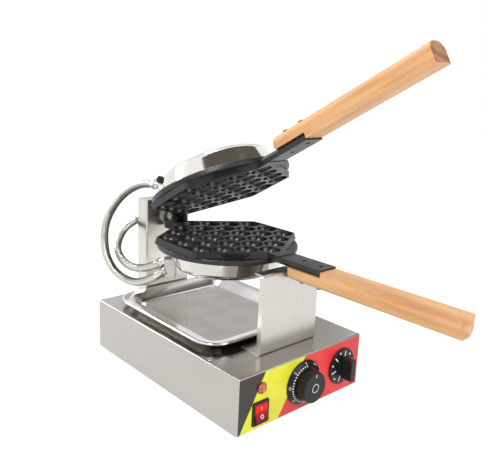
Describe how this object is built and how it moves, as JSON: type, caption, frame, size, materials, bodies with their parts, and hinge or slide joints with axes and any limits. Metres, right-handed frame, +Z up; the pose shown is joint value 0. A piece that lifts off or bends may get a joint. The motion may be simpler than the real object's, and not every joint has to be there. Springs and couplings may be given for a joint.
{
  "type": "bubble waffle maker",
  "caption": "Countertop bubble waffle maker: two hinged hexagonal cell plates with wooden handles turn over on a rear pivot above a drip tray and a stainless control base.",
  "frame": {"origin": "on the table under the centre of the base housing", "axes": "+Z up; the control panel faces -Y and the handles reach towards -Y; +X is to the right of a person facing the panel"},
  "size_m": [0.25, 0.613, 0.5119],
  "materials": {
    "stainless_sheet": "brushed stainless sheet",
    "polished_steel": "polished stainless",
    "black_rubber": "matt rubber",
    "film_dark": "printed film",
    "film_yellow": "printed film",
    "film_red": "printed film",
    "black_plastic": "moulded plastic, satin",
    "red_plastic": "moulded plastic, translucent look",
    "lamp_amber": "moulded lens",
    "silver_plastic": "plated plastic ring",
    "coated_iron": "cast, dark non-stick coat",
    "heater_metal": "sheathed element",
    "beech": "oiled beech",
    "zinc_screw": "plated steel",
    "steel_shaft": "turned steel",
    "braided_conduit": "flexible steel sleeve",
    "grey_casting": "die-cast, satin",
    "ceramic_white": "ceramic block",
    "timer_zinc": "yellow passivated steel"
  },
  "bodies": {
    "base": {"base_housing": "stainless_sheet", "bottom_plate": "stainless_sheet", "feet": "black_rubber", "panel_dark": "film_dark", "panel_yellow": "film_yellow", "panel_red": "film_red", "lamp_bezel": "black_plastic", "lamp_lens": "lamp_amber", "switch_frame": "black_plastic", "timer_movement": "timer_zinc", "thermostat_body": "timer_zinc", "terminal_block": "ceramic_white", "cord_gland": "black_plastic", "front_bracket": "stainless_sheet", "rear_column": "stainless_sheet", "column_cover": "stainless_sheet", "column_screws": "zinc_screw", "pivot_bearing": "grey_casting", "conduit_elbow": "grey_casting", "inner_conduit": "braided_conduit"},
    "lower_pan": {"lower_mould_plate": "coated_iron", "lower_dome": "polished_steel", "lower_dome_screws": "zinc_screw", "lower_heating_ring": "heater_metal", "lower_handle": "beech", "lower_handle_screws": "zinc_screw", "pivot_shaft": "steel_shaft", "thrust_washer": "steel_shaft", "pivot_nut": "zinc_screw", "hinge_pin": "steel_shaft", "lower_junction_box": "grey_casting", "lower_ferrules": "grey_casting", "outer_conduit": "braided_conduit"},
    "lid": {"upper_mould_plate": "coated_iron", "upper_dome": "polished_steel", "upper_dome_screws": "zinc_screw", "upper_heating_ring": "heater_metal", "upper_handle": "beech", "upper_handle_screws": "zinc_screw", "upper_junction_box": "grey_casting", "upper_ferrule": "grey_casting", "upper_nut": "black_plastic"},
    "timer_knob": {"timer_dial": "black_plastic", "timer_grip": "black_plastic", "timer_ring": "silver_plastic", "timer_cap": "black_plastic", "timer_shaft": "steel_shaft"},
    "thermostat_knob": {"thermostat_dial": "black_plastic", "thermostat_grip": "black_plastic", "thermostat_shaft": "steel_shaft"},
    "rocker": {"switch_rocker": "red_plastic"},
    "tray": {"drip_tray": "polished_steel"}
  },
  "joints": [
    {"name": "flip", "type": "hinge", "parent": "base", "child": "lower_pan", "pos_m": [0, 0.15, 0.225], "axis": [0, 1, 0], "range_deg": [0, 90], "deforming": ["inner_conduit"]},
    {"name": "lid_hinge", "type": "hinge", "parent": "lower_pan", "child": "lid", "pos_m": [0, 0.13, 0.232], "axis": [-1, 0, 0], "range_deg": [-28.8, 40], "deforming": ["outer_conduit"]},
    {"name": "timer_turn", "type": "hinge", "parent": "base", "child": "timer_knob", "pos_m": [-0.002, -0.19, 0.049], "axis": [0, 1, 0], "range_deg": [0, 300]},
    {"name": "thermostat_turn", "type": "hinge", "parent": "base", "child": "thermostat_knob", "pos_m": [0.082, -0.19, 0.049], "axis": [0, 1, 0], "range_deg": [0, 300]},
    {"name": "rocker_tilt", "type": "hinge", "parent": "base", "child": "rocker", "pos_m": [-0.0845, -0.175, 0.031], "axis": [1, 0, 0], "range_deg": [0, 18]},
    {"name": "tray_slide", "type": "slide", "parent": "base", "child": "tray", "axis": [1, 0, 0], "range_m": [-0.18, 0.18]}
  ]
}
